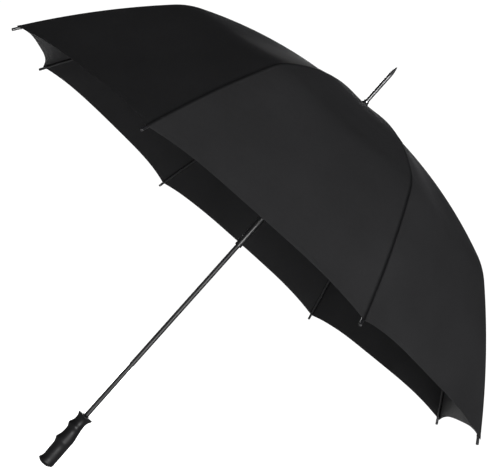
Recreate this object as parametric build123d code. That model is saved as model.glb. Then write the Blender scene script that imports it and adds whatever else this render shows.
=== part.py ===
from build123d import *

import os
from math import asin, atan2, cos, degrees, hypot, pi, radians, sin, tan

# A manual golf umbrella, fully open. Millimetres, +Z along the shaft towards the ferrule.
# The origin is the middle of the hand grip, on the shaft's axis.
# Eight ribs hang on a wire ring in the top notch. Eight stretchers hang on a ring in the runner,
# which slides down the shaft to close the umbrella. Two sprung catches in the shaft hold the runner.

# --- driving dimensions -------------------------------------------------------------------------
RIBS = 8
RIB_STEP = 360 / RIBS
FIRST_RIB = RIB_STEP / 2  # azimuth of rib 1, so that the grip's finger side faces between two ribs
HALF_GORE = RIB_STEP / 2

CANOPY_RADIUS = 590.0  # shaft axis to a rib's tip
RIM_Z = 507.0  # plane of the rib tips
HEM_SCALLOP = 0.022  # how far the hem is cut back halfway between two ribs, as a share of the radius
FABRIC = 0.6  # thickness of the cloth's solid
SEAM_GAP = 0.001  # share of the half chord left clear between two neighbouring cloth solids
FLEX_GAP = 0.8  # clear length each side of the point where a rib flexes

# The canopy's section along a rib is three tangent arcs: (share of the radius, slope in degrees).
CROWN_SHARE = 0.03
KNEE_START_SHARE = 0.62
KNEE_END_SHARE = 0.69
PROFILE = [(CROWN_SHARE, 3.0), (KNEE_START_SHARE, 25.5), (KNEE_END_SHARE, 45.5), (1.0, 55.8)]

ROD_R = 2.1  # fibreglass rib
ROD_DEPTH = 4.0  # from the cloth's outer face to the rib's centre line
PIVOT_SHARE = 0.50  # where the stretcher joins the rib
FLEX_SHARE = 0.518  # where the rib starts to flex, just outside the stretcher
PIVOT_DROP = 6.6  # stretcher rivet below the rib's centre line
RIB_OVERRUN = 6.0  # rib end past the hem's corner
TIP_CAP_R = 2.7
TIP_CAP_LENGTH = 16.0
TIP_CAP_SOCKET = 12.0

STRETCHER_R = 1.8
EYE_R = 2.4
EYE_THICKNESS = 2.0
RUNNER_EYE_THICKNESS = 3.4  # the stretcher's inner eye
TONGUE_HEIGHT = 3.2
EYE_TO_ROD = 6.0  # flattened length at each end of a rib or stretcher
ROD_START = 5.5  # round rod starts this far from the pivot
RIVET_R = 0.8
RIVET_HOLE_R = 0.9
EAR_THICKNESS = 1.0
EAR_GAP = 2.4
BRACKET_LENGTH = 12.0
BRACKET_R = 3.0

SHAFT_R = 4.75
SHAFT_BORE_R = 3.95
SHAFT_BOTTOM_Z = -20.0
HUB_R = 12.5  # top notch, and the head of the runner
HUB_HALF_HEIGHT = 3.8
NOTCH_SLOT_WIDTH = 2.8
RUNNER_SLOT_WIDTH = 4.2  # a stretcher's whole rod passes through it
SLIT_WIDTH = 2.8  # of the slit in the runner that clears the catches' noses
HUB_SLOT_ROOT_R = 6.6
RING_R = 9.5  # wire rings through the eyes
WIRE_R = 0.6
WIRE_CHANNEL_R = 0.7
WIRE_HOLE_R = 1.0

RUNNER_PIVOT_Z = RIM_Z + 59.0
RUNNER_BOTTOM_Z = RIM_Z - 19.0
RUNNER_BORE_R = 4.85
RUNNER_SLEEVE_R = 7.0
SLIT_R = 7.4

CATCH_THICKNESS = 1.6
CATCH_SLOT_WIDTH = 2.2
CATCH_LENGTH = 22.0
CATCH_RIB = 2  # index of the rib whose azimuth the catches share
CATCH_NOSE_R = 6.5
CATCH_NOSE_LENGTH = 12.0
CATCH_INNER_X = -0.5
CATCH_OUTER_X = 4.6
TOP_CATCH_TOP_Z = RUNNER_BOTTOM_Z - 0.5
BOTTOM_CATCH_TOP_Z = 122.5
SLOT_CLEARANCE = 1.0

CROWN_CAP_R = 19.0
CROWN_CAP_HEIGHT = 8.0
CROWN_CAP_TOP_R = 6.4
CAP_CLEARANCE = 0.4
SHAFT_ABOVE_CAP = 4.0
FERRULE_R = 4.0
FERRULE_PLUG_R = 3.5
FERRULE_PLUG_LENGTH = 10.0
FERRULE_TIP_Z = 948.0
FERRULE_TIP_LENGTH = 21.0
FERRULE_STUD_R = 2.2
FERRULE_STUD_LENGTH = 7.0
TIP_FLAT_R = 0.8
NOTCH_PIN_R = 0.8
NOTCH_PIN_LIFT = 2.5

GRIP_SOCKET_R = 6.0
GRIP_END_Z = -58.0
END_CAP_R = 14.0
END_CAP_FLAT_R = 6.0
END_CAP_DROP = 4.0
END_CAP_PLUG_LENGTH = 12.0
# Grip sections: height, reach towards the fingers (-X), reach towards the palm (+X).
GRIP_SECTIONS = [
    (59.0, 7.4, 7.4),
    (57.5, 12.0, 12.0),
    (55.5, 16.0, 16.4),
    (52.0, 14.4, 14.6),
    (45.0, 13.0, 12.0),
    (37.0, 14.2, 11.5),
    (31.0, 17.2, 12.0),
    (28.5, 17.4, 12.3),
    (23.0, 14.6, 13.2),
    (15.0, 13.2, 14.6),
    (6.0, 13.8, 16.2),
    (-2.0, 16.0, 16.5),
    (-6.5, 17.3, 16.5),
    (-12.0, 15.0, 16.5),
    (-24.0, 13.0, 16.7),
    (-40.0, 12.4, 16.8),
    (-51.0, 13.4, 16.9),
    (-56.0, 15.4, 16.6),
    (GRIP_END_Z, 15.0, 15.6),
]
GRIP_SIDE_SHARE = 0.97  # half width across the grip, as a share of its half depth

STRAP_RIB = 2  # index of the rib whose seam carries the tie strap, on the far side of the canopy
STRAP_LENGTH = 150.0
STRAP_WIDTH = 18.0
STRAP_THICKNESS = 1.0
STRAP_START_SHARE = 0.95
STRAP_LIFT = 0.4
SNAP_R = 5.5
SNAP_THICKNESS = 1.6
SNAP_INSET = 9.0


# --- the canopy's section along a rib -------------------------------------------------------------
def build_arcs():
    """Each arc as (start radius, end radius, start slope, arc radius, start height)."""
    arcs = []
    height = RIM_Z
    for (share_a, slope_a), (share_b, slope_b) in reversed(list(zip(PROFILE, PROFILE[1:]))):
        a, b = radians(slope_a), radians(slope_b)
        start, end = share_a * CANOPY_RADIUS, share_b * CANOPY_RADIUS
        arc_r = (end - start) / (sin(b) - sin(a))
        height += arc_r * (cos(a) - cos(b))
        arcs.insert(0, (start, end, a, arc_r, height))
    return arcs


ARCS = build_arcs()
CROWN_Z = ARCS[0][4]


def section(radius, depth=0.0):
    """(radius, height, slope) of the canopy's section there, moved inwards along its normal by depth."""
    for start, end, slope, arc_r, height in ARCS:
        if radius <= end + 1e-9:
            break
    here = asin(sin(slope) + (radius - start) / arc_r)
    z = height - arc_r * (cos(slope) - cos(here))
    return radius - depth * sin(here), z - depth * cos(here), here


def in_plane(radius, height):
    return Vector(radius, 0, height)


def rod_point(radius):
    r, z, _ = section(radius, ROD_DEPTH)
    return in_plane(r, z)


# --- pivots, in the plane of a rib whose azimuth is zero ------------------------------------------
def rib_root():
    r, z, slope = section(CROWN_SHARE * CANOPY_RADIUS, ROD_DEPTH)
    return in_plane(RING_R, z + (r - RING_R) * tan(slope))


def flex_point():
    return rod_point(FLEX_SHARE * CANOPY_RADIUS)


def stretcher_pivot():
    r, z, _ = section(PIVOT_SHARE * CANOPY_RADIUS, ROD_DEPTH + PIVOT_DROP)
    return in_plane(r, z)


def runner_pivot():
    return in_plane(RING_R, RUNNER_PIVOT_Z)


def rib_end():
    r, z, slope = section(CANOPY_RADIUS, ROD_DEPTH)
    return in_plane(r + RIB_OVERRUN * cos(slope), z - RIB_OVERRUN * sin(slope))


# --- helpers --------------------------------------------------------------------------------------
def at_rib(shape, index):
    return shape.rotate(Axis.Z, FIRST_RIB + RIB_STEP * index)


def rod_arc(start, end):
    """Arc of a rib's centre line between two radii inside one arc of the section."""
    middle = (section(start)[2] + section(end)[2]) / 2
    for first, last, slope, arc_r, _ in ARCS:
        if end <= last + 1e-9:
            mid_radius = first + arc_r * (sin(middle) - sin(slope))
            break
    return ThreePointArc(rod_point(start), rod_point(mid_radius), rod_point(end))


def swept_rod(edges, radius):
    path = Wire(edges)
    start = Plane(origin=path @ 0, z_dir=path % 0)
    return sweep(start * Circle(radius), path=path)


def along(start, end):
    """Plane at start whose X runs to end and whose Y is the rib's hinge direction."""
    return Plane(origin=start, x_dir=end - start, z_dir=(end - start).cross(Vector(0, 1, 0)))


def eye(plane, thickness, hole_r):
    """Flattened end of a rod: a round eye at the plane's origin, and a tongue along its X."""
    disc = Rot(90, 0, 0) * Cylinder(EYE_R, thickness)
    tongue = Pos(EYE_TO_ROD / 2, 0, 0) * Box(EYE_TO_ROD, thickness, TONGUE_HEIGHT)
    hole = Rot(90, 0, 0) * Cylinder(hole_r, 3 * thickness)
    return plane * (disc + tongue - hole)


def ring(minor, height):
    return Pos(0, 0, height) * Torus(RING_R, minor)


def hub_slots(height, width):
    slot_length = HUB_R + 2 - HUB_SLOT_ROOT_R
    slot = Pos(HUB_SLOT_ROOT_R + slot_length / 2, 0, height) * Box(
        slot_length, width, 3 * HUB_HALF_HEIGHT
    )
    return [at_rib(slot, i) for i in range(RIBS)]


def closed(faces):
    return Solid(Shell(faces))


# --- ribs and stretchers --------------------------------------------------------------------------
def rib_inner():
    """Root eye, rod to the flex point, and the bracket that carries the stretcher's rivet."""
    root = rib_root()
    crown = CROWN_SHARE * CANOPY_RADIUS
    first = rod_point(crown)
    rod_start = root + (first - root).normalized() * ROD_START
    last = FLEX_SHARE * CANOPY_RADIUS - FLEX_GAP
    rod = swept_rod([Line(rod_start, first), rod_arc(crown, last)], ROD_R)
    return Compound([rod + eye(along(root, first), EYE_THICKNESS, WIRE_HOLE_R), bracket()])


def bracket():
    """Sleeve clamped on the rib, with two ears and a rivet below it."""
    here = PIVOT_SHARE * CANOPY_RADIUS
    plane = along(rod_point(here), stretcher_pivot())
    reach = PIVOT_DROP + EYE_R
    sleeve = Cylinder(BRACKET_R, BRACKET_LENGTH)
    ear_y = EAR_GAP / 2 + EAR_THICKNESS / 2
    ear = Pos(reach / 2, 0, 0) * Box(reach, EAR_THICKNESS, 2 * EYE_R)
    rivet = Pos(PIVOT_DROP, 0, 0) * Rot(90, 0, 0) * Cylinder(RIVET_R, EAR_GAP + 3 * EAR_THICKNESS)
    body = sleeve + Pos(0, ear_y, 0) * ear + Pos(0, -ear_y, 0) * ear
    body -= Cylinder(ROD_R, 2 * BRACKET_LENGTH)
    return plane * (body + rivet)


def rib_outer():
    """Rod from the flex point to the tip, and the plastic cap on its end."""
    first = FLEX_SHARE * CANOPY_RADIUS + FLEX_GAP
    stations = [first, KNEE_START_SHARE * CANOPY_RADIUS, KNEE_END_SHARE * CANOPY_RADIUS, CANOPY_RADIUS]
    arcs = [rod_arc(a, b) for a, b in zip(stations, stations[1:])]
    rod = swept_rod(arcs + [Line(rod_point(CANOPY_RADIUS), rib_end())], ROD_R)
    return Compound([rod, tip_cap()])


def tip_cap():
    end = rib_end()
    outwards = (end - rod_point(CANOPY_RADIUS)).normalized()
    plane = Plane(origin=end - outwards * TIP_CAP_SOCKET, z_dir=outwards)
    cap = Pos(0, 0, TIP_CAP_LENGTH / 2) * Cylinder(TIP_CAP_R, TIP_CAP_LENGTH)
    cap = fillet(cap.edges().filter_by(GeomType.CIRCLE).sort_by(Axis.Z)[-1:], TIP_CAP_R * 0.6)
    socket = Pos(0, 0, TIP_CAP_SOCKET / 2) * Cylinder(ROD_R, TIP_CAP_SOCKET)
    return plane * (cap - socket)


def stretcher():
    outer, inner = stretcher_pivot(), runner_pivot()
    run = (inner - outer).normalized()
    rod = swept_rod(
        [Line(outer + run * ROD_START, inner - run * ROD_START)], STRETCHER_R
    )
    outer_eye = eye(along(outer, inner), EYE_THICKNESS, RIVET_HOLE_R)
    inner_eye = eye(along(inner, outer), RUNNER_EYE_THICKNESS, WIRE_HOLE_R)
    return rod + outer_eye + inner_eye


# --- cloth ----------------------------------------------------------------------------------------
CLOTH_SAMPLES = 13


def cloth_half(start, rib_end_radius, mid_end_radius, side):
    """Half of a gore, from its rib to the line halfway to the next rib, ruled by level chords."""
    half = radians(HALF_GORE)

    def rib_points(depth):
        radii = [start + (rib_end_radius - start) * i / (CLOTH_SAMPLES - 1) for i in range(CLOTH_SAMPLES)]
        return [in_plane(*section(r, depth)[:2]) for r in radii]

    def mid_points(depth):
        radii = [start + (mid_end_radius - start) * i / (CLOTH_SAMPLES - 1) for i in range(CLOTH_SAMPLES)]
        points = []
        for r in radii:
            radius, z, _ = section(r, depth)
            chord = radius * sin(half) * (1 - SEAM_GAP)
            points.append(Vector(radius - chord * sin(half), side * chord * cos(half), z))
        return points

    edges = {}
    for name, depth in (("outer", 0.0), ("inner", FABRIC)):
        rib, mid = rib_points(depth), mid_points(depth)
        edges[name] = {
            "rib": Spline(*rib),
            "mid": Spline(*mid),
            "start": Line(rib[0], mid[0]),
            "end": Line(rib[-1], mid[-1]),
        }
    ruled = Face.make_surface_from_curves
    faces = [ruled(edges[n]["rib"], edges[n]["mid"]) for n in ("outer", "inner")]
    faces += [ruled(edges["outer"][e], edges["inner"][e]) for e in ("rib", "mid", "start", "end")]
    return closed(faces)


def canopy_inner():
    start = CROWN_SHARE * CANOPY_RADIUS
    end = FLEX_SHARE * CANOPY_RADIUS - FLEX_GAP / 4
    return cloth_half(start, end, end, 1) + cloth_half(start, end, end, -1)


def canopy_outer():
    start = FLEX_SHARE * CANOPY_RADIUS + FLEX_GAP / 4
    mid_end = CANOPY_RADIUS * (1 - HEM_SCALLOP)
    halves = [cloth_half(start, CANOPY_RADIUS, mid_end, side) for side in (1, -1)]
    return halves[0] + halves[1]


def strap_plane():
    """Plane on the seam's outer face, X down the rib, where the tie strap is sewn."""
    r, z, slope = section(STRAP_START_SHARE * CANOPY_RADIUS)
    middle = section(STRAP_START_SHARE * CANOPY_RADIUS - STRAP_LENGTH / 2 * cos(slope))
    run = in_plane(cos(middle[2]), -sin(middle[2]))
    bow = STRAP_LIFT + abs(section(r)[1] - middle[1] + STRAP_LENGTH / 2 * sin(middle[2])) + 2.0
    normal = in_plane(sin(middle[2]), cos(middle[2]))
    return Plane(origin=in_plane(middle[0], middle[1]) + normal * bow, x_dir=run, z_dir=normal)


def tie_strap():
    strap = Box(STRAP_LENGTH, STRAP_WIDTH, STRAP_THICKNESS)
    strap = fillet(strap.edges().filter_by(Axis.Z), STRAP_WIDTH * 0.3)
    return at_rib(strap_plane() * strap, STRAP_RIB)


def strap_snap():
    lift = STRAP_THICKNESS / 2 + SNAP_THICKNESS / 2
    snap = Pos(-STRAP_LENGTH / 2 + SNAP_INSET, 0, lift) * Cylinder(SNAP_R, SNAP_THICKNESS)
    return at_rib(strap_plane() * snap, STRAP_RIB)


# --- shaft, hubs and catches ----------------------------------------------------------------------
def shaft_tube():
    top = CROWN_Z + CAP_CLEARANCE + CROWN_CAP_HEIGHT + SHAFT_ABOVE_CAP
    length = top - SHAFT_BOTTOM_Z
    centre = SHAFT_BOTTOM_Z + length / 2
    tube = Pos(0, 0, centre) * (Cylinder(SHAFT_R, length) - Cylinder(SHAFT_BORE_R, 2 * length))
    for catch_top in (TOP_CATCH_TOP_Z, BOTTOM_CATCH_TOP_Z):
        slot_length = CATCH_LENGTH + 2 * SLOT_CLEARANCE
        slot = Pos(SHAFT_R, 0, catch_top - CATCH_LENGTH / 2) * Box(
            2 * SHAFT_R, CATCH_SLOT_WIDTH, slot_length
        )
        tube -= at_rib(slot, CATCH_RIB)
    return tube - pin_hole()


def catch(top):
    """Sprung leaf in the shaft, with a nose that stands out under the runner."""
    bottom = top - CATCH_LENGTH
    outline = Polyline(
        (CATCH_INNER_X, bottom),
        (CATCH_OUTER_X, bottom),
        (CATCH_OUTER_X, top - CATCH_NOSE_LENGTH),
        (CATCH_NOSE_R, top - CATCH_NOSE_LENGTH * 0.2),
        (CATCH_NOSE_R, top),
        (CATCH_INNER_X, top),
        close=True,
    )
    leaf = extrude(Plane.XZ * make_face(outline), CATCH_THICKNESS / 2, both=True)
    return at_rib(leaf, CATCH_RIB)


def pin_hole():
    height = rib_root().Z + NOTCH_PIN_LIFT
    return Pos(0, 0, height) * Rot(0, 90, 0) * Cylinder(NOTCH_PIN_R, 2 * HUB_R - 1)


def top_notch():
    height = rib_root().Z
    hub = Pos(0, 0, height) * (
        Cylinder(HUB_R, 2 * HUB_HALF_HEIGHT) - Cylinder(SHAFT_R, 3 * HUB_HALF_HEIGHT)
    )
    for slot in hub_slots(height, NOTCH_SLOT_WIDTH):
        hub -= slot
    return hub - ring(WIRE_CHANNEL_R, height) - pin_hole()


def runner():
    length = RUNNER_PIVOT_Z + HUB_HALF_HEIGHT - RUNNER_BOTTOM_Z
    sleeve = Pos(0, 0, RUNNER_BOTTOM_Z + length / 2) * Cylinder(RUNNER_SLEEVE_R, length)
    head = Pos(0, 0, RUNNER_PIVOT_Z) * Cylinder(HUB_R, 2 * HUB_HALF_HEIGHT)
    head = chamfer(head.edges().filter_by(GeomType.CIRCLE).sort_by(Axis.Z)[:1], 3.0)
    body = sleeve + head
    body -= Pos(0, 0, RUNNER_BOTTOM_Z + length / 2) * Cylinder(RUNNER_BORE_R, 2 * length)
    slit = Pos(SLIT_R / 2, 0, RUNNER_BOTTOM_Z + length / 2) * Box(SLIT_R, SLIT_WIDTH, 2 * length)
    body -= at_rib(slit, CATCH_RIB)
    for slot in hub_slots(RUNNER_PIVOT_Z, RUNNER_SLOT_WIDTH):
        body -= slot
    return body - ring(WIRE_CHANNEL_R, RUNNER_PIVOT_Z)


def crown_cap():
    base = CROWN_Z + CAP_CLEARANCE
    bore = SHAFT_R + 0.05
    profile = [
        Line((bore, base), (CROWN_CAP_R, base)),
        Line((CROWN_CAP_R, base), (CROWN_CAP_R, base + 1)),
        ThreePointArc(
            (CROWN_CAP_R, base + 1),
            (CROWN_CAP_TOP_R + 4, base + CROWN_CAP_HEIGHT * 0.36),
            (CROWN_CAP_TOP_R, base + CROWN_CAP_HEIGHT),
        ),
        Line((CROWN_CAP_TOP_R, base + CROWN_CAP_HEIGHT), (bore, base + CROWN_CAP_HEIGHT)),
        Line((bore, base + CROWN_CAP_HEIGHT), (bore, base)),
    ]
    return revolve(Plane.XZ * make_face(profile), Axis.Z)


def ferrule_spike():
    bottom = CROWN_Z + CAP_CLEARANCE + CROWN_CAP_HEIGHT + SHAFT_ABOVE_CAP
    top = FERRULE_TIP_Z - FERRULE_TIP_LENGTH
    spike = Pos(0, 0, (bottom + top) / 2) * Cylinder(FERRULE_R, top - bottom)
    plug = Pos(0, 0, bottom - FERRULE_PLUG_LENGTH / 2) * Cylinder(FERRULE_PLUG_R, FERRULE_PLUG_LENGTH)
    stud = Pos(0, 0, top + FERRULE_STUD_LENGTH / 2) * Cylinder(FERRULE_STUD_R, FERRULE_STUD_LENGTH)
    return spike + plug + stud


def ferrule_tip():
    bottom = FERRULE_TIP_Z - FERRULE_TIP_LENGTH
    socket_top = bottom + FERRULE_STUD_LENGTH
    outline = [
        Line((FERRULE_STUD_R, bottom), (FERRULE_R, bottom)),
        ThreePointArc(
            (FERRULE_R, bottom),
            (FERRULE_R * 0.78, bottom + FERRULE_TIP_LENGTH * 0.55),
            (TIP_FLAT_R, FERRULE_TIP_Z),
        ),
        Line((TIP_FLAT_R, FERRULE_TIP_Z), (0, FERRULE_TIP_Z)),
        Line((0, FERRULE_TIP_Z), (0, socket_top)),
        Line((0, socket_top), (FERRULE_STUD_R, socket_top)),
        Line((FERRULE_STUD_R, socket_top), (FERRULE_STUD_R, bottom)),
    ]
    return revolve(Plane.XZ * make_face(outline), Axis.Z)


# --- handle ---------------------------------------------------------------------------------------
GRIP_SECTION_POINTS = 16


def grip_section(height, fingers, palm):
    side = (fingers + palm) / 2 * GRIP_SIDE_SHARE
    points = []
    for i in range(GRIP_SECTION_POINTS):
        angle = 2 * pi * i / GRIP_SECTION_POINTS
        reach = palm if cos(angle) > 0 else fingers
        points.append(Vector(reach * cos(angle), side * sin(angle), height))
    return Face(Wire([Spline(*points, periodic=True)]))


def handle_grip():
    grip = loft([grip_section(*row) for row in reversed(GRIP_SECTIONS)])
    top = GRIP_SECTIONS[0][0]
    grip -= Pos(0, 0, (SHAFT_BOTTOM_Z + top + 10) / 2) * Cylinder(SHAFT_R, top + 10 - SHAFT_BOTTOM_Z)
    return grip - Pos(0, 0, GRIP_END_Z + END_CAP_PLUG_LENGTH / 2) * Cylinder(
        GRIP_SOCKET_R, END_CAP_PLUG_LENGTH
    )


def handle_end_cap():
    bottom = GRIP_END_Z - END_CAP_DROP
    plug_top = GRIP_END_Z + END_CAP_PLUG_LENGTH
    outline = [
        Line((0, bottom), (END_CAP_FLAT_R, bottom)),
        ThreePointArc(
            (END_CAP_FLAT_R, bottom),
            (END_CAP_R * 0.82, bottom + END_CAP_DROP * 0.42),
            (END_CAP_R, GRIP_END_Z),
        ),
        Line((END_CAP_R, GRIP_END_Z), (GRIP_SOCKET_R, GRIP_END_Z)),
        Line((GRIP_SOCKET_R, GRIP_END_Z), (GRIP_SOCKET_R, plug_top)),
        Line((GRIP_SOCKET_R, plug_top), (0, plug_top)),
        Line((0, plug_top), (0, bottom)),
    ]
    return revolve(Plane.XZ * make_face(outline), Axis.Z)


# --- every node -----------------------------------------------------------------------------------
def build():
    """Node name to its shape."""
    nodes = {
        "shaft_tube": shaft_tube(),
        "ferrule_spike": ferrule_spike(),
        "ferrule_tip": ferrule_tip(),
        "crown_cap": crown_cap(),
        "top_notch": top_notch(),
        "notch_pin": pin_hole(),
        "notch_ring": ring(WIRE_R, rib_root().Z),
        "runner": runner(),
        "runner_ring": ring(WIRE_R, RUNNER_PIVOT_Z),
        "top_catch": catch(TOP_CATCH_TOP_Z),
        "bottom_catch": catch(BOTTOM_CATCH_TOP_Z),
        "handle_grip": handle_grip(),
        "handle_end_cap": handle_end_cap(),
        "tie_strap": tie_strap(),
        "strap_snap": strap_snap(),
    }
    repeated = {
        "rib_inner": rib_inner(),
        "rib_outer": rib_outer(),
        "stretcher": stretcher(),
        "canopy_inner": canopy_inner(),
        "canopy_outer": canopy_outer(),
    }
    for name, shape in repeated.items():
        for index in range(RIBS):
            nodes[f"{name}_{index + 1}"] = at_rib(shape, index)
    return nodes


def main():
    os.makedirs("parts", exist_ok=True)
    for name, shape in build().items():
        export_step(shape, f"parts/{name}.step")
    run = stretcher_pivot() - runner_pivot()
    print(f"stretcher {hypot(run.X, run.Z):.1f} mm at {degrees(atan2(run.Z, run.X)):.1f} degrees")


if __name__ == "__main__":
    main()
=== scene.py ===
# A golf umbrella's looks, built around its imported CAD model. Metres, +Z along the shaft.
from math import asin, cos, hypot, pi, radians, sin

import bmesh
import bpy
from mathutils import Matrix, Vector, noise


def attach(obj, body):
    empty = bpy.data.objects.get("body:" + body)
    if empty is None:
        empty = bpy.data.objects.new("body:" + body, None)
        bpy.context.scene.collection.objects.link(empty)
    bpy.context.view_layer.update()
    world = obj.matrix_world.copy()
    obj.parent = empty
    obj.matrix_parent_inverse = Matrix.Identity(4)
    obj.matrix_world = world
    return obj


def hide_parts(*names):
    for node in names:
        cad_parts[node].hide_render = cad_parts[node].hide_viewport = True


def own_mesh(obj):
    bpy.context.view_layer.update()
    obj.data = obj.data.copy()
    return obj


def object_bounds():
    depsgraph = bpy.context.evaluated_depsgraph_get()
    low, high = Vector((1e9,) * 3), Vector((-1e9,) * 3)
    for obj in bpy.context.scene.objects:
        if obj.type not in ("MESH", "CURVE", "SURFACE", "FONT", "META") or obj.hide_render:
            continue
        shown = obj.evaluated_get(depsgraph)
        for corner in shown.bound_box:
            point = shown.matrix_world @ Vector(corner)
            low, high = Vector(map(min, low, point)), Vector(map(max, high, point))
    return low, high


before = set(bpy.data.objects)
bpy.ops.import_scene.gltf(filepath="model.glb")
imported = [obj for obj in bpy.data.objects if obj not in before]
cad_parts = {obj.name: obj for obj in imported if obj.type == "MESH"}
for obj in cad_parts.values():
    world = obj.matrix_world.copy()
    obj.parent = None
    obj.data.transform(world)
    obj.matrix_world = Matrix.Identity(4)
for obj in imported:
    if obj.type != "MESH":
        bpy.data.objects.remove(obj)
CAD_LOW, CAD_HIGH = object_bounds()

# --- the canopy's driving dimensions, as the CAD has them -----------------------------------------
RIBS = 8
RIB_STEP = radians(360 / RIBS)
FIRST_RIB = RIB_STEP / 2
HALF_GORE = RIB_STEP / 2
CANOPY_RADIUS = 0.590
RIM_Z = 0.507
CROWN_SHARE = 0.03
FLEX_SHARE = 0.518
PROFILE = [(CROWN_SHARE, 3.0), (0.62, 25.5), (0.69, 45.5), (1.0, 55.8)]
ROD_DEPTH = 0.0040
ROD_R = 0.0021

# --- the cloth as it is sewn ----------------------------------------------------------------------
CLOTH_THICKNESS = 0.00045
# How far the hem is cut back halfway between two ribs, as a share of the radius. The CAD cuts it 0.022.
HEM_SCALLOP = 0.016
HEM_POINT = 3.5  # higher makes the hem straighter, with sharper points at the ribs
GORE_SAG = 0.0035  # cloth between two ribs is pulled a little inside their chord
SAG_FLATNESS = 0.8  # below 1 spreads the sag further towards the crown and the hem
WRINKLE = 0.0007
WRINKLE_START = 0.03  # how far from a seam the ripples reach their full height
WRINKLE_SCALES = (11, 29)
KNEE_TUCK = 0.030  # the outer cloth runs this far under the inner cloth
TUCK_DEPTH = 0.0007
TUCK_RAMP = 0.004
SEAM_HALF_WIDTH = 0.0035
SEAM_RISE = 0.0004
HEM_FOLD = 0.009
HEM_RISE = 0.0004
HEM_FOLD_ROWS = (1.0, 0.7, 0.55, 0.42, 0.3, 0.2, 0.1, 0.0)  # from the inner edge of the fold outwards
CROWN_REACH = 0.75  # the cloth starts this far out, as a share of the crown's radius
ALONG_STEP = 0.007
ACROSS_STEPS = 30
SEAM_COLUMNS = (0.0, 0.004, 0.010, 0.016, 0.024, 0.036)  # shares of the half gore, beside the seam
FLEX_RADIUS = FLEX_SHARE * CANOPY_RADIUS


# --- the canopy's section along a rib -------------------------------------------------------------
def build_arcs():
    """Each arc as (start radius, end radius, start slope, arc radius, start height)."""
    arcs = []
    height = RIM_Z
    for (share_a, slope_a), (share_b, slope_b) in reversed(list(zip(PROFILE, PROFILE[1:]))):
        a, b = radians(slope_a), radians(slope_b)
        start, end = share_a * CANOPY_RADIUS, share_b * CANOPY_RADIUS
        arc_r = (end - start) / (sin(b) - sin(a))
        height += arc_r * (cos(a) - cos(b))
        arcs.insert(0, (start, end, a, arc_r, height))
    return arcs


ARCS = build_arcs()


def section(radius):
    """(height, slope, arc length from the crown) of the canopy's outer face on a rib."""
    length = 0.0
    for start, end, slope, arc_r, height in ARCS:
        here = asin(sin(slope) + (min(radius, end) - start) / arc_r)
        length += arc_r * (here - slope)
        if radius <= end + 1e-9:
            break
    return height - arc_r * (cos(slope) - cos(here)), here, length


def turned(point, index):
    return Matrix.Rotation(FIRST_RIB + RIB_STEP * index, 3, "Z") @ Vector(point)


def smooth(x):
    x = min(max(x, 0.0), 1.0)
    return x * x * (3 - 2 * x)


# --- node helpers ---------------------------------------------------------------------------------
class Shader:
    """A small builder of one Principled material."""

    def __init__(self, name, color, roughness, metallic=0.0, **sockets):
        self.material = bpy.data.materials.new(name)
        self.material.use_nodes = True
        self.tree = self.material.node_tree
        self.bsdf = self.tree.nodes["Principled BSDF"]
        self.bsdf.inputs["Base Color"].default_value = (*color, 1)
        self.bsdf.inputs["Roughness"].default_value = roughness
        self.bsdf.inputs["Metallic"].default_value = metallic
        for key, value in sockets.items():
            self.bsdf.inputs[key.replace("_", " ")].default_value = value

    def node(self, kind, inputs=None, **settings):
        made = self.tree.nodes.new(kind)
        for key, value in settings.items():
            setattr(made, key, value)
        for key, value in (inputs or {}).items():
            if isinstance(value, bpy.types.NodeSocket):
                self.tree.links.new(value, made.inputs[key])
            else:
                made.inputs[key].default_value = value
        return made

    def link(self, socket, name):
        self.tree.links.new(socket, self.bsdf.inputs[name])

    def coords(self):
        return self.node("ShaderNodeTexCoord").outputs["Object"]

    def noise(self, scale, detail=4.0, vector=None):
        inputs = {"Vector": vector or self.coords(), "Scale": scale, "Detail": detail}
        made = self.node("ShaderNodeTexNoise", inputs)
        return made.outputs["Fac"]

    def math(self, operation, a, b=0.0, c=0.0):
        made = self.node("ShaderNodeMath", {0: a, 1: b, 2: c}, operation=operation)
        return made.outputs[0]

    def spread(self, fac, low, high, from_low=0.0, from_high=1.0):
        """fac, taken from one range to another and held inside it."""
        source = {"Value": fac, "From Min": from_low, "From Max": from_high}
        made = self.node("ShaderNodeMapRange", {**source, "To Min": low, "To Max": high})
        return made.outputs["Result"]

    def ramp(self, fac, dark, light):
        made = self.node("ShaderNodeMix", data_type="RGBA")
        self.tree.links.new(fac, made.inputs["Factor"])
        made.inputs["A"].default_value = (*dark, 1)
        made.inputs["B"].default_value = (*light, 1)
        return made.outputs["Result"]

    def tint(self, fac, color, socket):
        """A colour that gives way to another socket's colour as fac goes from 0 to 1."""
        made = self.node("ShaderNodeMix", data_type="RGBA")
        self.tree.links.new(fac, made.inputs["Factor"])
        made.inputs["A"].default_value = (*color, 1)
        self.tree.links.new(socket, made.inputs["B"])
        return made.outputs["Result"]

    def bump(self, height, strength, distance, normal=None):
        made = self.node("ShaderNodeBump", {"Height": height, "Strength": strength, "Distance": distance})
        if normal:
            self.tree.links.new(normal, made.inputs["Normal"])
        return made.outputs["Normal"]


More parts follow.
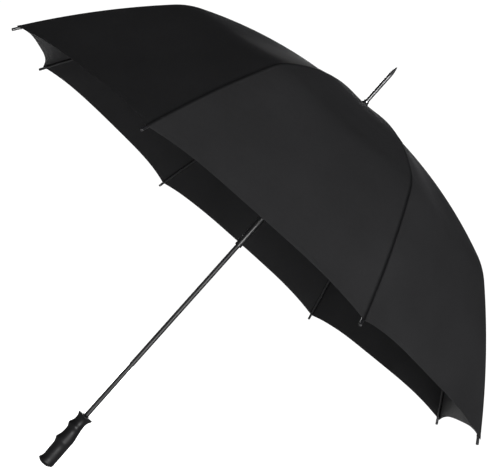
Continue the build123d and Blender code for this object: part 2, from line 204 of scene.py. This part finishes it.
# --- materials ------------------------------------------------------------------------------------
WEAVE_PITCH = 0.00055
WEAVE_DEPTH = 0.00006
STITCH_PITCH = 0.0026
STITCH_HALF_WIDTH = 0.00045
STITCH_DEPTH = 0.0003
SEAM_STITCHES = SEAM_HALF_WIDTH * 0.7  # how far the row runs from the seam
HEM_STITCHES = HEM_FOLD * 0.85  # and from the hem
SEAM_SHADOW = (0.0012, 0.0042)  # painted shade along the seam ends between these distances from it
SEAM_FADE = (0.002, 0.006)  # and the lighter patches of open cloth start between these, so the painted seam shade fades out over them
BLOTCH_SCALE = 9.0
FINE_SCALE = 160.0
FINE_DEPTH = 0.0004
FINE_SHARE = 0.35  # of the cloth's tone; the rest comes from the blotches
CLOTH_ROUGHNESS = (0.72, 0.84)
GRAIN_DEPTH = 0.0002
SCRATCH_DEPTH = 0.0001


def cloth_material(name, light, dark, seam_shade_color):
    """Tightly woven polyester, with rows of stitching beside the seams and along the hem, and painted shade
    darkening the cloth along the seams and along the strap's sides.
    """
    s = Shader(name, dark, 0.7, Sheen_Weight=0.012, Sheen_Roughness=0.45, Specular_IOR_Level=0.05)
    s.bsdf.inputs["Sheen Tint"].default_value = (0.8, 0.8, 0.85, 1)
    attribute = s.node("ShaderNodeAttribute", attribute_name="cloth")
    split = s.node("ShaderNodeSeparateXYZ", {0: attribute.outputs["Vector"]})
    across, hem, along = split.outputs
    weave = []
    for direction in (across, along):
        turns = s.math("MULTIPLY", direction, 2 * pi / WEAVE_PITCH)
        weave.append(s.math("SINE", turns))
    threads = s.math("MULTIPLY", weave[0], weave[1])
    blotch = s.noise(BLOTCH_SCALE, 5.0)
    fine = s.noise(FINE_SCALE, 3.0)
    tone = s.math("MULTIPLY_ADD", fine, FINE_SHARE, s.math("MULTIPLY", blotch, 1 - FINE_SHARE))
    patches = s.spread(tone, 0.0, 1.0, 0.3, 0.7)
    shade = s.math("MULTIPLY", patches, s.spread(across, 0.0, 1.0, *SEAM_FADE))
    open_cloth = s.ramp(shade, dark, light)
    # painted shade: within a few millimetres of the seam the cloth turns to the much darker seam shade
    # colour
    off_seam_shade = s.spread(across, 0.0, 1.0, *SEAM_SHADOW)
    s.link(s.tint(off_seam_shade, seam_shade_color, open_cloth), "Base Color")
    s.link(s.spread(blotch, *CLOTH_ROUGHNESS), "Roughness")
    seam_row = row_of_stitches(s, across, along, SEAM_STITCHES)
    hem_row = row_of_stitches(s, hem, across, HEM_STITCHES)
    stitches = s.math("MAXIMUM", seam_row, hem_row)
    normal = s.bump(threads, 0.25, WEAVE_DEPTH)
    normal = s.bump(fine, 0.12, FINE_DEPTH, normal)
    s.link(s.bump(stitches, 0.9, STITCH_DEPTH, normal), "Normal")
    return s.material


def row_of_stitches(s, away, along, distance):
    """1 on each stitch of a row that runs this far from an edge."""
    off = s.math("ABSOLUTE", s.math("SUBTRACT", away, distance))
    on_row = s.spread(off, 1.0, 0.0, 0.0, STITCH_HALF_WIDTH)
    beat = s.math("SINE", s.math("MULTIPLY", along, 2 * pi / STITCH_PITCH))
    return s.math("MULTIPLY", on_row, s.spread(beat, 0.0, 1.0, -0.5, 0.2))


def lighter(color, gain, lift):
    return tuple(min(c * gain + lift, 1) for c in color)


def moulded_material(name, color, roughness, grain, grain_scale=900.0, specular=0.35):
    """Moulded plastic or thread, with a fine grain."""
    s = Shader(name, color, roughness, Specular_IOR_Level=specular)
    light = lighter(color, 1.5, 0.001)
    s.link(s.ramp(s.spread(s.noise(14.0), 0, 1, 0.35, 0.7), color, light), "Base Color")
    s.link(s.spread(s.noise(40.0, 6.0), roughness - 0.06, roughness + 0.08, 0.3, 0.7), "Roughness")
    s.link(s.bump(s.noise(grain_scale, 2.0), grain, GRAIN_DEPTH), "Normal")
    return s.material


def metal_material(name, color, roughness, metallic, brushed=True, specular=0.5, relief=0.08):
    """Metal, bare or painted, with fine lines drawn along Z."""
    s = Shader(name, color, roughness, metallic, Specular_IOR_Level=specular)
    coords = s.node("ShaderNodeMapping", {"Vector": s.coords(), "Scale": (1.0, 1.0, 0.03)})
    lines = s.noise(2600.0 if brushed else 400.0, 3.0, coords.outputs["Vector"])
    light = lighter(color, 1.35, 0.01)
    s.link(s.ramp(s.spread(s.noise(25.0), 0, 1, 0.3, 0.7), color, light), "Base Color")
    s.link(s.spread(lines, roughness - 0.05, roughness + 0.09, 0.3, 0.7), "Roughness")
    s.link(s.bump(lines, relief, SCRATCH_DEPTH), "Normal")
    return s.material


def fibreglass_material(name, color):
    """Pultruded rod: long glass strands under a thin gloss coat."""
    s = Shader(name, color, 0.36, Specular_IOR_Level=0.3, Coat_Weight=0.08, Coat_Roughness=0.25)
    strands = s.noise(700.0, 4.0)
    light = lighter(color, 2.0, 0.002)
    s.link(s.ramp(s.spread(strands, 0, 1, 0.4, 0.75), color, light), "Base Color")
    s.link(s.spread(s.noise(60.0), 0.26, 0.4, 0.3, 0.7), "Roughness")
    s.link(s.bump(strands, 0.1, SCRATCH_DEPTH), "Normal")
    return s.material


# the third colour of each cloth is painted shade, laid along its seams
CLOTH = cloth_material(
    "canopy_cloth", (0.0115, 0.0115, 0.012), (0.0082, 0.0082, 0.0085), (0.0022, 0.0022, 0.0024)
)
STRAP_CLOTH = cloth_material(
    "strap_cloth", (0.0135, 0.0135, 0.014), (0.009, 0.009, 0.0093), (0.006, 0.006, 0.0063)
)
GRIP = moulded_material("grip_plastic", (0.0032, 0.0032, 0.0035), 0.46, 0.2, specular=0.12)
HUB = moulded_material("hub_plastic", (0.010, 0.010, 0.011), 0.4, 0.12)
RUNNER = moulded_material("runner_plastic", (0.006, 0.006, 0.0065), 0.36, 0.1)
SHAFT = metal_material("shaft_black", (0.0034, 0.0034, 0.0037), 0.46, 0.0, False, specular=0.2, relief=0.015)
SPIKE = metal_material("spike_nickel", (0.16, 0.16, 0.165), 0.22, 1.0)
SPIKE_TIP = moulded_material("spike_tip_plastic", (0.016, 0.016, 0.017), 0.3, 0.08)
STEEL = metal_material("steel", (0.5, 0.5, 0.51), 0.3, 1.0)
CHROME = metal_material("chrome", (0.62, 0.62, 0.64), 0.12, 1.0, brushed=False)
ROD = fibreglass_material("fibreglass", (0.004, 0.004, 0.0045))
THREAD = moulded_material("thread", (0.014, 0.014, 0.015), 0.7, 0.5, 3000.0)

NODE_MATERIALS = {
    "shaft_tube": SHAFT,
    "ferrule_spike": SPIKE,
    "ferrule_tip": SPIKE_TIP,
    "crown_cap": HUB,
    "top_notch": HUB,
    "notch_pin": STEEL,
    "notch_ring": STEEL,
    "runner": RUNNER,
    "runner_ring": STEEL,
    "top_catch": STEEL,
    "bottom_catch": STEEL,
    "handle_grip": GRIP,
    "handle_end_cap": GRIP,
    "tie_strap": STRAP_CLOTH,
    "strap_snap": CHROME,
}


def paint(obj, material):
    obj.data.materials.clear()
    obj.data.materials.append(material)


def paint_nodes():
    for name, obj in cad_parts.items():
        paint(obj, NODE_MATERIALS.get(name, CLOTH if name.startswith("canopy") else ROD))


def new_object(name, mesh_builder, material, body):
    """A smooth-shaded piece that rides on a body."""
    mesh = bpy.data.meshes.new(name)
    mesh_builder(mesh)
    obj = bpy.data.objects.new(name, mesh)
    bpy.context.scene.collection.objects.link(obj)
    for polygon in mesh.polygons:
        polygon.use_smooth = True
    mesh.materials.append(material)
    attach(obj, body)
    return obj


# --- the canopy -----------------------------------------------------------------------------------
def hem_cut(across):
    """Share of the radius that is cut away at this share of the way to the middle of the gore."""
    return HEM_SCALLOP * (1 - (1 - across) ** HEM_POINT)


def cloth_point(index, side, radius, across, tuck):
    """Points of the outer and inner face, and (distance from the seam, from the hem, length along)."""
    z, slope, length = section(radius)
    half_chord = radius * sin(HALF_GORE)
    away = across * half_chord
    from_hem = (CANOPY_RADIUS * (1 - hem_cut(across)) - radius) / cos(slope)
    span = (radius / CANOPY_RADIUS - CROWN_SHARE) / (1 - CROWN_SHARE)
    bow = sin(pi * min(span, 1.0)) ** SAG_FLATNESS * GORE_SAG * smooth(across) if span > 0 else 0.0
    lift = -bow - tuck
    lift += SEAM_RISE * (1 - smooth(away / SEAM_HALF_WIDTH - 0.4))
    lift += HEM_RISE * (1 - smooth(from_hem / HEM_FOLD * 2 - 1.2))
    middle = Vector((radius - away * sin(HALF_GORE), side * away * cos(HALF_GORE), z))
    normal = Vector((sin(slope) * cos(HALF_GORE), side * sin(slope) * sin(HALF_GORE), cos(slope)))
    outer, normal = turned(middle, index), turned(normal.normalized(), index)
    fade = smooth(away / WRINKLE_START) * smooth(span * 3)
    wide, narrow = WRINKLE_SCALES
    ripple = noise.noise(outer * wide) + 0.5 * noise.noise(outer * narrow)
    lift += WRINKLE * fade * ripple
    outer += normal * lift
    return outer, outer - normal * CLOTH_THICKNESS, (away, from_hem, length)


def across_shares():
    """Closely spaced beside the seam, even over the rest of the half gore."""
    last = SEAM_COLUMNS[-1]
    even = [last + (1 - last) * (i / ACROSS_STEPS) for i in range(1, ACROSS_STEPS + 1)]
    return list(SEAM_COLUMNS) + even


def along_radii(start, end, hem):
    """Even steps along the rib, and closer ones over the hem's fold."""
    count = max(int((end - start) / ALONG_STEP), 2)
    radii = [start + (end - start) * i / count for i in range(count)]
    if hem:
        radii = [r for r in radii if r < end - HEM_FOLD * 1.2]
        return radii + [end - HEM_FOLD * share for share in HEM_FOLD_ROWS]
    return radii + [end]


def cloth_rows(start, end, hem):
    """Radii of the rows of points, and which row is the flex line, if the piece runs past it."""
    if not hem:
        return along_radii(start, end, False), None
    tucked = [start, FLEX_RADIUS - TUCK_RAMP, FLEX_RADIUS - TUCK_RAMP / 2]
    return tucked + along_radii(FLEX_RADIUS, end, True), len(tucked)


def thin_solid(mesh, wide, outer, inner, facts, flip, crease_row=None):
    """Two grids of points, joined round their edges, with the border and one row kept sharp."""
    count = len(outer)
    rows = count // wide
    faces = []
    for row in range(rows - 1):
        for column in range(wide - 1):
            a = row * wide + column
            corners = (a, a + wide, a + wide + 1, a + 1)
            faces.append(corners)
            faces.append(tuple(count + corner for corner in reversed(corners)))
    edge = list(range(wide))
    edge += [row * wide + wide - 1 for row in range(1, rows)]
    edge += [(rows - 1) * wide + column for column in range(wide - 2, -1, -1)]
    edge += [row * wide for row in range(rows - 2, 0, -1)]
    sharp = set()
    for a, b in zip(edge, edge[1:] + edge[:1]):
        faces.append((a, b, count + b, count + a))
        sharp |= {frozenset((a, b)), frozenset((count + a, count + b))}
    if crease_row is not None:
        for column in range(wide - 1):
            a = crease_row * wide + column
            sharp |= {frozenset((a, a + 1)), frozenset((count + a, count + a + 1))}
    if flip:
        faces = [face[::-1] for face in faces]
    mesh.from_pydata(outer + inner, [], faces)
    for mesh_edge in mesh.edges:
        mesh_edge.use_edge_sharp = frozenset(mesh_edge.vertices) in sharp
    attribute = mesh.attributes.new("cloth", "FLOAT_VECTOR", "POINT")
    attribute.data.foreach_set("vector", [value for fact in facts + facts for value in fact])


def cloth_mesh(index, side, start, end, hem):
    """A closed thin solid: an outer and an inner face, joined round all four edges."""

    def build(mesh):
        shares = across_shares()
        radii, flex_row = cloth_rows(start, end, hem)
        outer, inner, facts = [], [], []
        for row, radius in enumerate(radii):
            tuck = TUCK_DEPTH * smooth((radii[flex_row] - radius) / TUCK_RAMP) if hem else 0.0
            for across in shares:
                cut = 0.0
                if hem and row > flex_row:
                    reach = (radius - radii[flex_row]) / (end - radii[flex_row])
                    cut = reach * hem_cut(across) * CANOPY_RADIUS
                top, bottom, fact = cloth_point(index, side, radius - cut, across, tuck)
                outer.append(top)
                inner.append(bottom)
                facts.append(fact)
        thin_solid(mesh, len(shares), outer, inner, facts, side < 0, flex_row)

    return build


def canopy_piece(index, side, part):
    """The cloth on one side of a rib, from the crown to the flex line or from there to the hem."""
    hem = part == "outer"
    start = FLEX_RADIUS - KNEE_TUCK if hem else CROWN_SHARE * CANOPY_RADIUS * CROWN_REACH
    end = CANOPY_RADIUS if hem else FLEX_RADIUS
    body = f"rib_end_{index + 1}" if hem else f"rib_{index + 1}"
    hand = "left" if side > 0 else "right"
    name = f"canopy_{part}_{index + 1}_{hand}"
    piece = new_object(name, cloth_mesh(index, side, start, end, hem), CLOTH, body)
    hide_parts(f"canopy_{part}_{index + 1}")
    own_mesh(piece)


def build_canopy():
    for index in range(RIBS):
        for side in (1, -1):
            for part in ("inner", "outer"):
                canopy_piece(index, side, part)


# --- small sewn pieces ----------------------------------------------------------------------------
TIE_SHARES = {"inner": (0.22, 0.40), "outer": (0.66, 0.84, 0.9925)}
TIE_WIRE = 0.00045
TIE_TURNS = 3
TIE_DRIFT = TIE_WIRE * 6  # how far the turns spread along the rib
TIE_TURN_STEPS = 28
TIE_AROUND = 8
TIE_RAISE = 0.0004  # how far above the rod's middle the turns are centred
TIP_CAP_SHARE = 0.98  # from here outwards the rib is inside its tip cap
TIP_CAP_R = 0.0027
REVOLVE_STEPS = 48
REVOLVE_CREASE = radians(32)
MERGE = 1e-7


def thread_mesh(centre, axis, radius):
    """A few turns of thread about an axis."""

    def build(mesh):
        bm = bmesh.new()
        side = axis.orthogonal().normalized()
        other = axis.cross(side)
        steps = TIE_TURN_STEPS * TIE_TURNS
        rings = []
        for i in range(steps + 1):
            angle = 2 * pi * i / TIE_TURN_STEPS
            out = side * cos(angle) + other * sin(angle)
            middle = centre + out * radius + axis * (TIE_DRIFT * i / steps)
            ring = []
            for j in range(TIE_AROUND):
                turn = 2 * pi * j / TIE_AROUND
                rim = middle + out * (TIE_WIRE * cos(turn)) + axis * (TIE_WIRE * sin(turn))
                ring.append(bm.verts.new(rim))
            rings.append(ring)
        for first, second in zip(rings, rings[1:]):
            for j in range(TIE_AROUND):
                k = (j + 1) % TIE_AROUND
                bm.faces.new((first[j], first[k], second[k], second[j]))
        bm.faces.new(rings[0][::-1])
        bm.faces.new(rings[-1])
        bmesh.ops.recalc_face_normals(bm, faces=bm.faces)
        bm.to_mesh(mesh)
        bm.free()

    return build


def build_ties():
    """Thread that ties the seam to the rib, twice on each half of it, and once more at the tip."""
    for index in range(RIBS):
        for part, shares in TIE_SHARES.items():
            body = f"rib_{index + 1}" if part == "inner" else f"rib_end_{index + 1}"
            for number, share in enumerate(shares):
                z, slope, _ = section(share * CANOPY_RADIUS)
                down = Vector((-sin(slope), 0, -cos(slope))) * (ROD_DEPTH - TIE_RAISE)
                centre = turned(Vector((share * CANOPY_RADIUS, 0, z)) + down, index)
                axis = turned((cos(slope), 0, -sin(slope)), index)
                held = TIP_CAP_R if share > TIP_CAP_SHARE else ROD_R
                name = f"seam_tie_{part}_{index + 1}_{number + 1}"
                builder = thread_mesh(centre, axis, held + TIE_WIRE)
                new_object(name, builder, THREAD, body)


def revolved_mesh(profile, centre, axis):
    """A closed outline of (radius, height) turned round an axis."""

    def build(mesh):
        side = axis.orthogonal().normalized()
        other = axis.cross(side)
        bm = bmesh.new()
        rings = []
        for i in range(REVOLVE_STEPS):
            angle = 2 * pi * i / REVOLVE_STEPS
            out = side * cos(angle) + other * sin(angle)
            rings.append([bm.verts.new(centre + out * r + axis * h) for r, h in profile])
        for i, ring in enumerate(rings):
            after = rings[(i + 1) % REVOLVE_STEPS]
            for j in range(len(profile)):
                k = (j + 1) % len(profile)
                bm.faces.new((ring[j], after[j], after[k], ring[k]))
        bmesh.ops.remove_doubles(bm, verts=bm.verts, dist=MERGE)
        bmesh.ops.dissolve_degenerate(bm, edges=bm.edges, dist=MERGE)
        bmesh.ops.recalc_face_normals(bm, faces=bm.faces)
        for edge in bm.edges:
            edge.smooth = len(edge.link_faces) < 2 or edge.calc_face_angle() < REVOLVE_CREASE
        bm.to_mesh(mesh)
        bm.free()

    return build


# --- tie strap ------------------------------------------------------------------------------------
STRAP_INDEX = 2
STRAP_START_SHARE = 0.95
STRAP_LENGTH = 0.150
STRAP_WIDTH = 0.018
STRAP_THICKNESS = 0.0009
STRAP_LIFT = 0.0009
STRAP_BORDER = 0.0025
STRAP_BORDER_RISE = 0.00025
STRAP_BRIDGE = 0.0025  # how softly it bends over the seam's ridge
STRAP_WAVE = 0.0004  # it lies on the cloth in low waves
STRAP_WAVE_RATE = 90
STRAP_STEPS = 56
STRAP_END_STEPS = 12
STRAP_END_SWEEP = radians(86)
STRAP_COLUMNS = 20
SNAP_INSET = 0.009
SNAP_PROFILE = [
    (0.0, 0.0),
    (0.0052, 0.0),
    (0.0056, 0.0003),
    (0.0056, 0.0007),
    (0.0051, 0.0011),
    (0.0046, 0.0011),
    (0.0042, 0.0008),
    (0.0038, 0.0010),
    (0.0026, 0.0014),
    (0.0, 0.0016),
]


def radius_along(length):
    """The radius at this length along the section."""
    below, above = 0.0, CANOPY_RADIUS
    for _ in range(40):
        middle = (below + above) / 2
        if section(middle)[2] < length:
            below = middle
        else:
            above = middle
    return below


def strap_point(down, sideways, rise):
    """A point this far from the sewn end and to the side of the seam, and the way out there."""
    start = section(STRAP_START_SHARE * CANOPY_RADIUS)[2]
    radius = radius_along(start - down)
    z, slope, _ = section(radius)
    bent = hypot(sideways, STRAP_BRIDGE)
    tilt = HALF_GORE * sideways / bent
    place = Vector((radius - (bent - STRAP_BRIDGE) * sin(HALF_GORE), sideways * cos(HALF_GORE), z))
    normal = Vector((sin(slope) * cos(tilt), sin(slope) * sin(tilt), cos(slope)))
    return turned(place + normal * rise, STRAP_INDEX), turned(normal, STRAP_INDEX)


def strap_mesh(mesh):
    """A strip with a round end and a raised border."""
    straight = STRAP_LENGTH - STRAP_WIDTH / 2
    rows = [(straight * i / STRAP_STEPS, STRAP_WIDTH / 2) for i in range(STRAP_STEPS)]
    for i in range(STRAP_END_STEPS):
        angle = STRAP_END_SWEEP * i / (STRAP_END_STEPS - 1)
        rows.append((straight + STRAP_WIDTH / 2 * sin(angle), STRAP_WIDTH / 2 * cos(angle)))
    outer, inner, facts = [], [], []
    for down, half_width in rows:
        rise = STRAP_LIFT + STRAP_WAVE * sin(down * STRAP_WAVE_RATE) ** 2
        for column in range(STRAP_COLUMNS + 1):
            sideways = half_width * (2 * column / STRAP_COLUMNS - 1)
            from_side = half_width - abs(sideways)
            from_end = min(down, STRAP_LENGTH - down)
            border = 1 - smooth(min(from_side, from_end) / STRAP_BORDER * 2 - 1)
            top = rise + STRAP_THICKNESS + border * STRAP_BORDER_RISE
            outer.append(strap_point(down, sideways, top)[0])
            inner.append(strap_point(down, sideways, rise)[0])
            facts.append((from_side, from_end, down))
    thin_solid(mesh, STRAP_COLUMNS + 1, outer, inner, facts, False)


def build_strap():
    body = f"rib_end_{STRAP_INDEX + 1}"
    strap = new_object("tie_strap_sewn", strap_mesh, STRAP_CLOTH, body)
    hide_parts("tie_strap")
    foot, normal = strap_point(STRAP_LENGTH - SNAP_INSET, 0.0, STRAP_LIFT + STRAP_THICKNESS)
    builder = revolved_mesh(SNAP_PROFILE, foot, normal.normalized())
    snap = new_object("strap_press_stud", builder, CHROME, body)
    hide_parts("strap_snap")


# --- collar at the foot of the spike --------------------------------------------------------------
CAP_CLEARANCE = 0.0004
CROWN_CAP_HEIGHT = 0.008
SHAFT_ABOVE_CAP = 0.004
COLLAR_PROFILE = [
    (0.0048, 0.0),
    (0.0056, 0.0),
    (0.0057, 0.0003),
    (0.0057, SHAFT_ABOVE_CAP - 0.0003),
    (0.0053, SHAFT_ABOVE_CAP + 0.0003),
    (0.0041, SHAFT_ABOVE_CAP + 0.0006),
    (0.0041, SHAFT_ABOVE_CAP + 0.00005),
    (0.0048, SHAFT_ABOVE_CAP + 0.00005),
]


def build_collar():
    crown = section(CROWN_SHARE * CANOPY_RADIUS)[0]
    foot = Vector((0, 0, crown + CAP_CLEARANCE + CROWN_CAP_HEIGHT))
    builder = revolved_mesh(COLLAR_PROFILE, foot, Vector((0, 0, 1)))
    new_object("spike_collar", builder, SPIKE, "shaft")


# --- stage ----------------------------------------------------------------------------------------
CAMERA_PLACE = (0.0193, -2.8713, 0.3551)
CAMERA_TURN = (94.264, -41.670, -2.604)  # pitch, roll and yaw in degrees
LENS = 108.68
SENSOR = 36.0
FAR_CLIP = 200
FLOOR_SIZE = 60.0
FLOOR_GAP = 0.001
# How bright the world and the floor are, as lights and then as the camera sees them.
WORLD_LIGHT = (0.01, 1.05)
FLOOR_LIGHT = (0.02, 1.1)
LIGHT_AIM = (0, 0, 0.6)
LIGHT_DISTANCE = 4.0
LIGHTS = [  # name, azimuth, height, size, power
    ("key", 290, 0.4, 1.4, 430),
    ("back", 100, 1.0, 2.5, 220),
]


def build_camera():
    data = bpy.data.cameras.new("camera")
    data.lens = LENS
    data.sensor_width = SENSOR
    data.clip_end = FAR_CLIP
    camera = bpy.data.objects.new("camera", data)
    bpy.context.scene.collection.objects.link(camera)
    camera.location = CAMERA_PLACE
    camera.rotation_euler = [radians(a) for a in CAMERA_TURN]
    bpy.context.scene.camera = camera


def area_light(name, azimuth, height, size, power):
    data = bpy.data.lights.new(name, "AREA")
    data.energy = power
    data.size = size
    light = bpy.data.objects.new(name, data)
    bpy.context.scene.collection.objects.link(light)
    a = radians(azimuth)
    light.location = Vector((cos(a) * LIGHT_DISTANCE, sin(a) * LIGHT_DISTANCE, height))
    light.rotation_euler = (Vector(LIGHT_AIM) - light.location).to_track_quat("-Z", "Y").to_euler()


def build_stage():
    bpy.context.scene.view_settings.view_transform = "Standard"
    world = bpy.data.worlds.new("world")
    bpy.context.scene.world = world
    world.use_nodes = True
    tree = world.node_tree
    background = tree.nodes["Background"]
    background.inputs["Color"].default_value = (1, 1, 1, 1)
    seen = tree.nodes.new("ShaderNodeLightPath")
    strength = tree.nodes.new("ShaderNodeMapRange")
    strength.inputs["To Min"].default_value, strength.inputs["To Max"].default_value = WORLD_LIGHT
    tree.links.new(seen.outputs["Is Camera Ray"], strength.inputs["Value"])
    tree.links.new(strength.outputs["Result"], background.inputs["Strength"])
    bpy.ops.mesh.primitive_plane_add(size=FLOOR_SIZE, location=(0, 0, CAD_LOW.z - FLOOR_GAP))
    floor = bpy.context.object
    floor.name = "floor"
    s = Shader("floor_white", (0.85, 0.85, 0.85), 0.9, Specular_IOR_Level=0.1)
    s.bsdf.inputs["Emission Color"].default_value = (1, 1, 1, 1)
    looked_at = s.node("ShaderNodeLightPath").outputs["Is Camera Ray"]
    s.link(s.spread(looked_at, *FLOOR_LIGHT), "Emission Strength")
    floor.data.materials.append(s.material)
    for light in LIGHTS:
        area_light(*light)


build_camera()
build_stage()
paint_nodes()
build_canopy()
build_ties()
build_strap()
build_collar()
